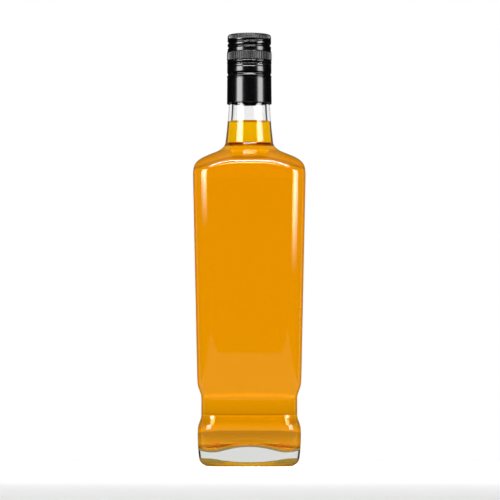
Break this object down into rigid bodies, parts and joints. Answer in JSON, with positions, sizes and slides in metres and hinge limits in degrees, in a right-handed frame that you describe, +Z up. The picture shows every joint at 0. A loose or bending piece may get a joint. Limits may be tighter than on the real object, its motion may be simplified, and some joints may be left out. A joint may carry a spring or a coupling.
{
  "type": "glass bottle",
  "caption": "Square-shouldered flint-glass spirits bottle, filled and closed with a black aluminium screw cap that unscrews from its tamper band.",
  "frame": {"origin": "middle of the ring that the bottle stands on, at the surface it stands on", "axes": "+Z up along the bottle's axis, -Y towards the front, +X to the right seen from the front"},
  "size_m": [0.0716, 0.0716, 0.2776],
  "materials": {
    "flint_glass": "clear, fire-polished",
    "amber_spirit": "clear amber liquid",
    "black_lacquered_aluminium": "satin black lacquer on rolled sheet",
    "liner_foam": "white expanded polyethylene"
  },
  "bodies": {
    "bottle": {"bottle": "flint_glass", "liquid": "amber_spirit", "tamper_band": "black_lacquered_aluminium"},
    "liner": {"cap_liner": "liner_foam"},
    "cap": {"cap_shell": "black_lacquered_aluminium"}
  },
  "joints": [
    {"name": "cap_lift", "type": "slide", "parent": "bottle", "child": "liner", "axis": [0, 0, 1], "range_m": [0, 0.0254]},
    {"name": "cap_turn", "type": "hinge", "parent": "liner", "child": "cap", "pos_m": [0, 0, 0.268], "axis": [0, 0, 1], "range_deg": [0, 2881]}
  ],
  "couplings": [
    {"joint": "cap_turn", "follows": "cap_lift", "rad_per_m": 1979}
  ]
}
